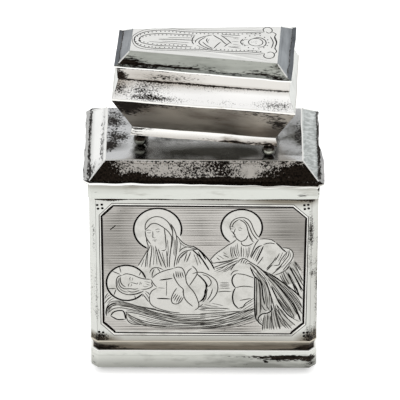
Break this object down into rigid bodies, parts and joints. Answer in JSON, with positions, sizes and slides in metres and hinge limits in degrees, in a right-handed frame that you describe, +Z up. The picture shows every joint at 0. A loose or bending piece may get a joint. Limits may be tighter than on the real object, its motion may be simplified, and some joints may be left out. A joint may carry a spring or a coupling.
{
  "type": "sepulchre casket",
  "caption": "Footed metal casket with an engraved front, a hipped lift-off cover and a small tapered sarcophagus on ball feet standing on its roof deck.",
  "frame": {"origin": "middle of the plinth's foot, on the surface that the casket stands on", "axes": "+Z up, -Y the engraved front, +X the head end of the sarcophagus"},
  "size_m": [0.0948, 0.0554, 0.1406],
  "materials": {
    "satin_silver": "satin silver sheet, aged",
    "polished_silver": "polished silver sheet, worn",
    "oxidised_silver": "silver blackened by tarnish"
  },
  "bodies": {
    "casket": {"plinth": "satin_silver", "plinth_cove": "oxidised_silver", "floor_plate": "oxidised_silver", "front_wall": "satin_silver", "corner_strip_front_right": "satin_silver", "right_wall": "satin_silver", "corner_strip_rear_right": "satin_silver", "rear_wall": "satin_silver", "corner_strip_rear_left": "satin_silver", "left_wall": "satin_silver", "corner_strip_front_left": "satin_silver"},
    "cover": {"cover_band": "satin_silver", "cover_lip": "satin_silver", "cover_bezel": "oxidised_silver", "cover_hip_front": "satin_silver", "cover_hip_right": "satin_silver", "cover_hip_rear": "satin_silver", "cover_hip_left": "satin_silver", "roof_deck": "polished_silver"},
    "sarcophagus": {"ball_foot_front_foot_end": "oxidised_silver", "ball_foot_front_head_end": "oxidised_silver", "ball_foot_rear_head_end": "oxidised_silver", "ball_foot_rear_foot_end": "oxidised_silver", "base_tray": "polished_silver", "flare_front": "oxidised_silver", "flare_head_end": "oxidised_silver", "flare_rear": "oxidised_silver", "flare_foot_end": "oxidised_silver", "belt_frame": "polished_silver", "scotia_front": "satin_silver", "scotia_head_end": "satin_silver", "scotia_rear": "satin_silver", "scotia_foot_end": "satin_silver"},
    "sarcophagus_lid": {"lid_flange": "polished_silver", "lid_bezel": "oxidised_silver", "lid_hip_front": "satin_silver", "lid_hip_head_end": "satin_silver", "lid_hip_rear": "satin_silver", "lid_hip_foot_end": "satin_silver", "lid_top": "polished_silver"}
  },
  "joints": [
    {"name": "cover_lift", "type": "slide", "parent": "casket", "child": "cover", "axis": [0, 0, 1], "range_m": [0, 0.06]},
    {"name": "sarcophagus_lift", "type": "slide", "parent": "cover", "child": "sarcophagus", "axis": [0, 0, 1], "range_m": [0, 0.04]},
    {"name": "lid_lift", "type": "slide", "parent": "sarcophagus", "child": "sarcophagus_lid", "axis": [0, 0, 1], "range_m": [0, 0.03]}
  ]
}
